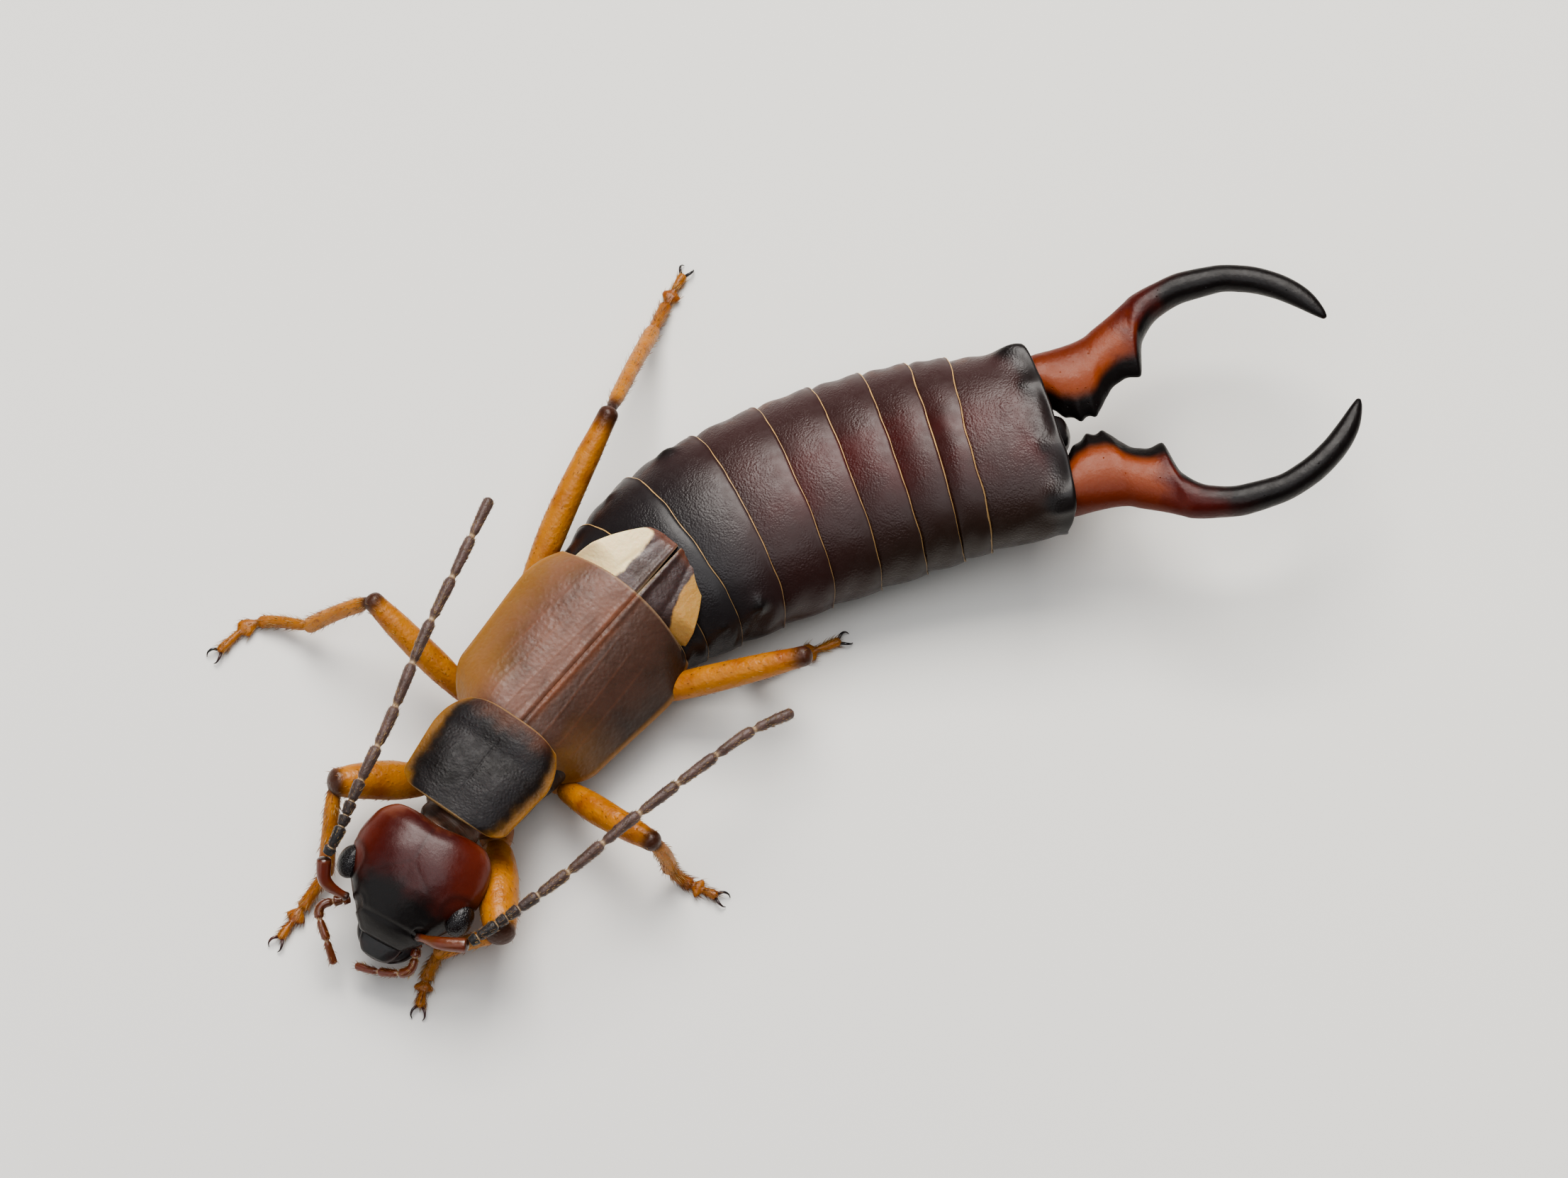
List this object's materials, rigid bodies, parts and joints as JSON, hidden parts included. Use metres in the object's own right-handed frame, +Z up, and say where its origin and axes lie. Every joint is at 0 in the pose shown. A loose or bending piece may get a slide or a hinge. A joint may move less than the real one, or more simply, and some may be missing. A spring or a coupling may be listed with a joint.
{
  "type": "earwig model",
  "caption": "Still, life-size model of a male earwig standing on six legs, with beaded feelers, short wing covers and open curved forceps.",
  "frame": {"origin": "on the floor, at the middle of the flat that the belly rests on", "axes": "+Z up, the head towards -Y, +X to the animal's left; the abdomen and forceps bend towards +X"},
  "size_m": [0.0119, 0.0174, 0.0026],
  "materials": {
    "mahogany_plate": "satin",
    "charcoal_plate": "satin",
    "wing_cover": "satin",
    "wing_tip": "satin",
    "red_brown_head": "gloss",
    "eye": "gloss",
    "black_horn": "gloss",
    "forceps_horn": "gloss",
    "feeler": "matt",
    "dark_amber": "satin",
    "amber_leg": "satin"
  },
  "bodies": {
    "root": {"abdomen_1": "charcoal_plate", "abdomen_2": "charcoal_plate", "abdomen_3": "charcoal_plate", "abdomen_4": "mahogany_plate", "abdomen_5": "mahogany_plate", "abdomen_6": "mahogany_plate", "abdomen_7": "mahogany_plate", "abdomen_8": "mahogany_plate", "abdomen_9": "mahogany_plate", "abdomen_10": "mahogany_plate", "forceps_l": "forceps_horn", "forceps_r": "forceps_horn", "pygidium": "black_horn", "tegmen_l": "wing_cover", "wing_tip_l": "wing_tip", "tegmen_r": "wing_cover", "wing_tip_r": "wing_tip", "thorax": "charcoal_plate", "pronotum": "charcoal_plate", "prothorax": "amber_leg", "head": "red_brown_head", "labrum": "black_horn", "mouthparts": "dark_amber", "mandible_l": "black_horn", "eye_l": "eye", "mandible_r": "black_horn", "eye_r": "eye", "neck": "amber_leg", "scape_r": "dark_amber", "antenna_r": "feeler", "scape_l": "dark_amber", "antenna_l": "feeler", "palp_r": "amber_leg", "palp_l": "amber_leg", "coxa_front_r": "amber_leg", "femur_front_r": "amber_leg", "tibia_front_r": "amber_leg", "tarsus_front_r": "amber_leg", "coxa_front_l": "amber_leg", "femur_front_l": "amber_leg", "tibia_front_l": "amber_leg", "tarsus_front_l": "amber_leg", "coxa_middle_r": "amber_leg", "femur_middle_r": "amber_leg", "tibia_middle_r": "amber_leg", "tarsus_middle_r": "amber_leg", "coxa_middle_l": "amber_leg", "femur_middle_l": "amber_leg", "tibia_middle_l": "amber_leg", "tarsus_middle_l": "amber_leg", "coxa_hind_r": "amber_leg", "femur_hind_r": "amber_leg", "tibia_hind_r": "amber_leg", "tarsus_hind_r": "amber_leg", "coxa_hind_l": "amber_leg", "femur_hind_l": "amber_leg", "tibia_hind_l": "amber_leg", "tarsus_hind_l": "amber_leg"}
  },
  "joints": []
}
